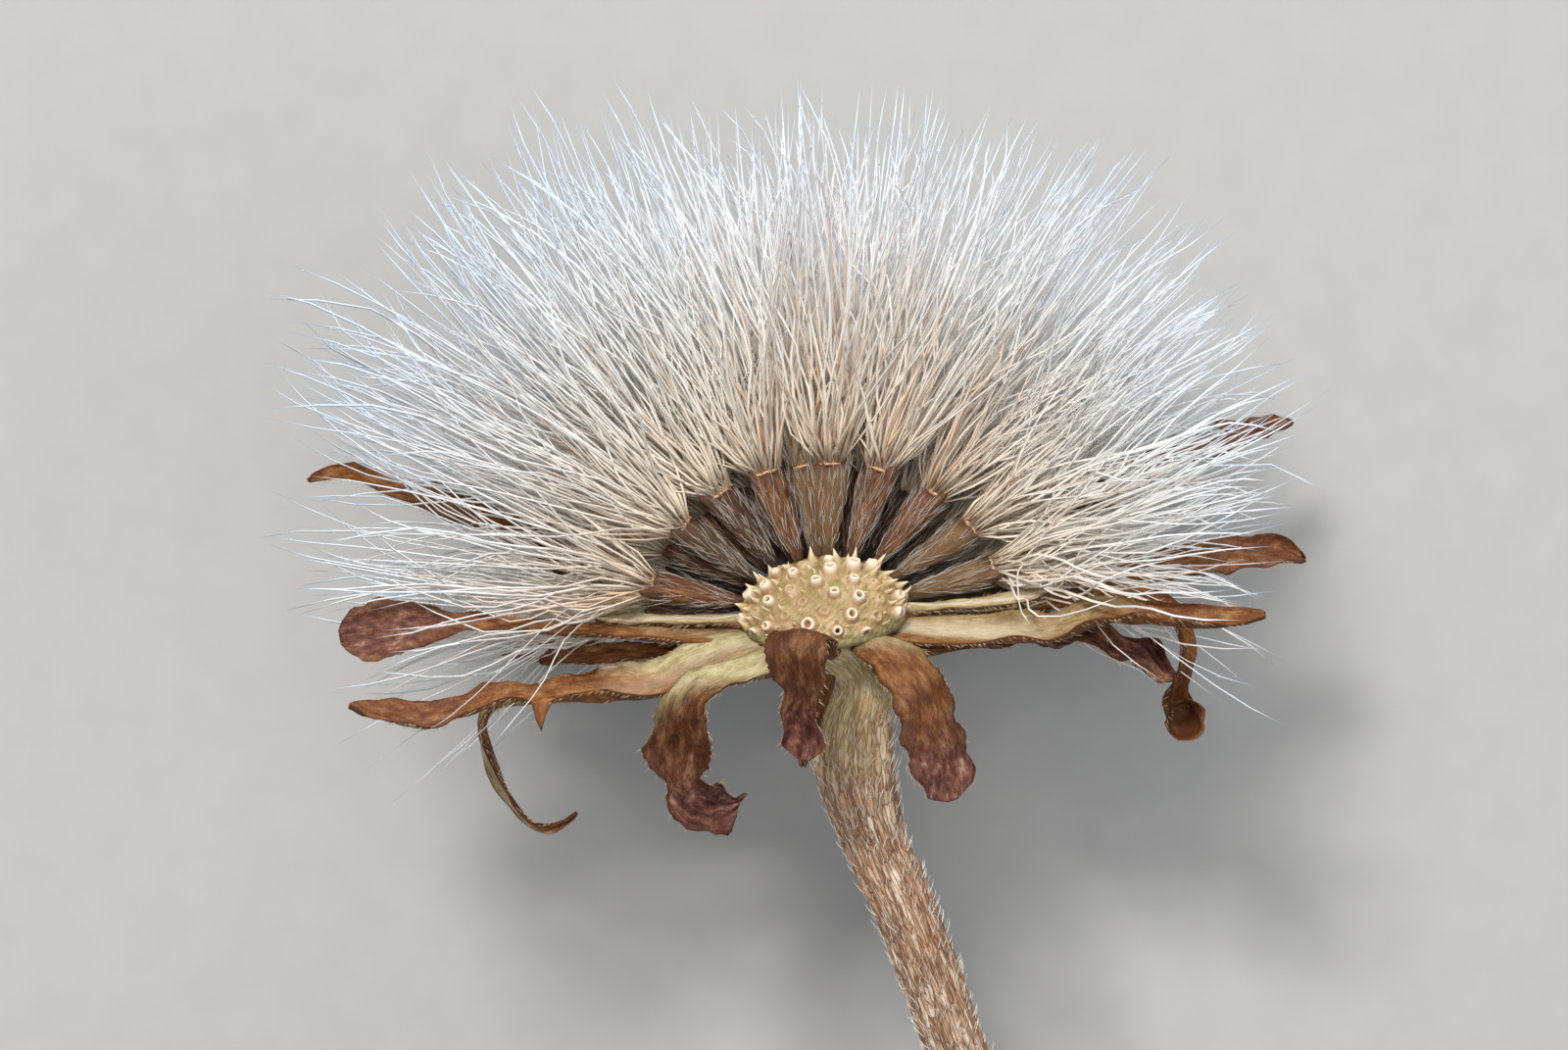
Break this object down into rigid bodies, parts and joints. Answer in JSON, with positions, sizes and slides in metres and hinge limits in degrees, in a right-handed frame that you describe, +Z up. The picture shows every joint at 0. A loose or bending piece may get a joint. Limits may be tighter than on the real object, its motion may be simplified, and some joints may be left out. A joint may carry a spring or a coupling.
{
  "type": "aster seed head",
  "caption": "Ripe aster seed head lying on its back: bristly white pappus over brown achenes, a bare pitted receptacle in front, curled dry bracts and a short cut stem.",
  "frame": {"origin": "on the surface that the seed head lies on, under the middle of its box", "axes": "+Z up from the surface, +Y the way that the flower points, from its stem to the tips of its bristles, +X to the right when the bare side of the receptacle faces up"},
  "size_m": [0.023, 0.0402, 0.0135],
  "materials": {
    "stem": "ribbed, dull, with short pale hairs",
    "receptacle": "matte pith with raised scars",
    "achenes": "satin, ribbed lengthwise, with short silvery hairs",
    "pappus": "silky, pinkish cream at the foot and silver white at the tips",
    "bract_inner": "dry and papery, pale green at the foot, ochre, with purple tips",
    "bract_outer": "dry and papery, brown"
  },
  "bodies": {
    "root": {"achenes": "achenes", "bract_inner_back": "bract_inner", "bract_inner_back_left": "bract_inner", "bract_inner_back_right": "bract_inner", "bract_inner_front": "bract_inner", "bract_inner_front_left": "bract_inner", "bract_inner_front_right": "bract_inner", "bract_inner_left": "bract_inner", "bract_inner_left_back": "bract_inner", "bract_inner_left_front": "bract_inner", "bract_inner_right": "bract_inner", "bract_inner_right_back": "bract_inner", "bract_inner_right_front": "bract_inner", "bract_outer_back_left": "bract_outer", "bract_outer_back_right": "bract_outer", "bract_outer_front": "bract_outer", "bract_outer_front_right": "bract_outer", "bract_outer_left": "bract_outer", "bract_outer_left_back": "bract_outer", "bract_outer_left_front": "bract_outer", "bract_outer_right": "bract_outer", "bract_outer_right_back": "bract_outer", "bract_outer_right_front": "bract_outer", "pappus_01": "pappus", "pappus_02": "pappus", "pappus_03": "pappus", "pappus_04": "pappus", "pappus_05": "pappus", "pappus_06": "pappus", "pappus_07": "pappus", "pappus_08": "pappus", "pappus_09": "pappus", "pappus_10": "pappus", "pappus_11": "pappus", "pappus_12": "pappus", "pappus_13": "pappus", "pappus_14": "pappus", "pappus_15": "pappus", "pappus_16": "pappus", "pappus_17": "pappus", "pappus_18": "pappus", "pappus_19": "pappus", "pappus_20": "pappus", "pappus_21": "pappus", "pappus_22": "pappus", "pappus_23": "pappus", "pappus_24": "pappus", "pappus_25": "pappus", "pappus_26": "pappus", "pappus_27": "pappus", "pappus_28": "pappus", "pappus_29": "pappus", "receptacle": "receptacle", "stem": "stem"}
  },
  "joints": []
}
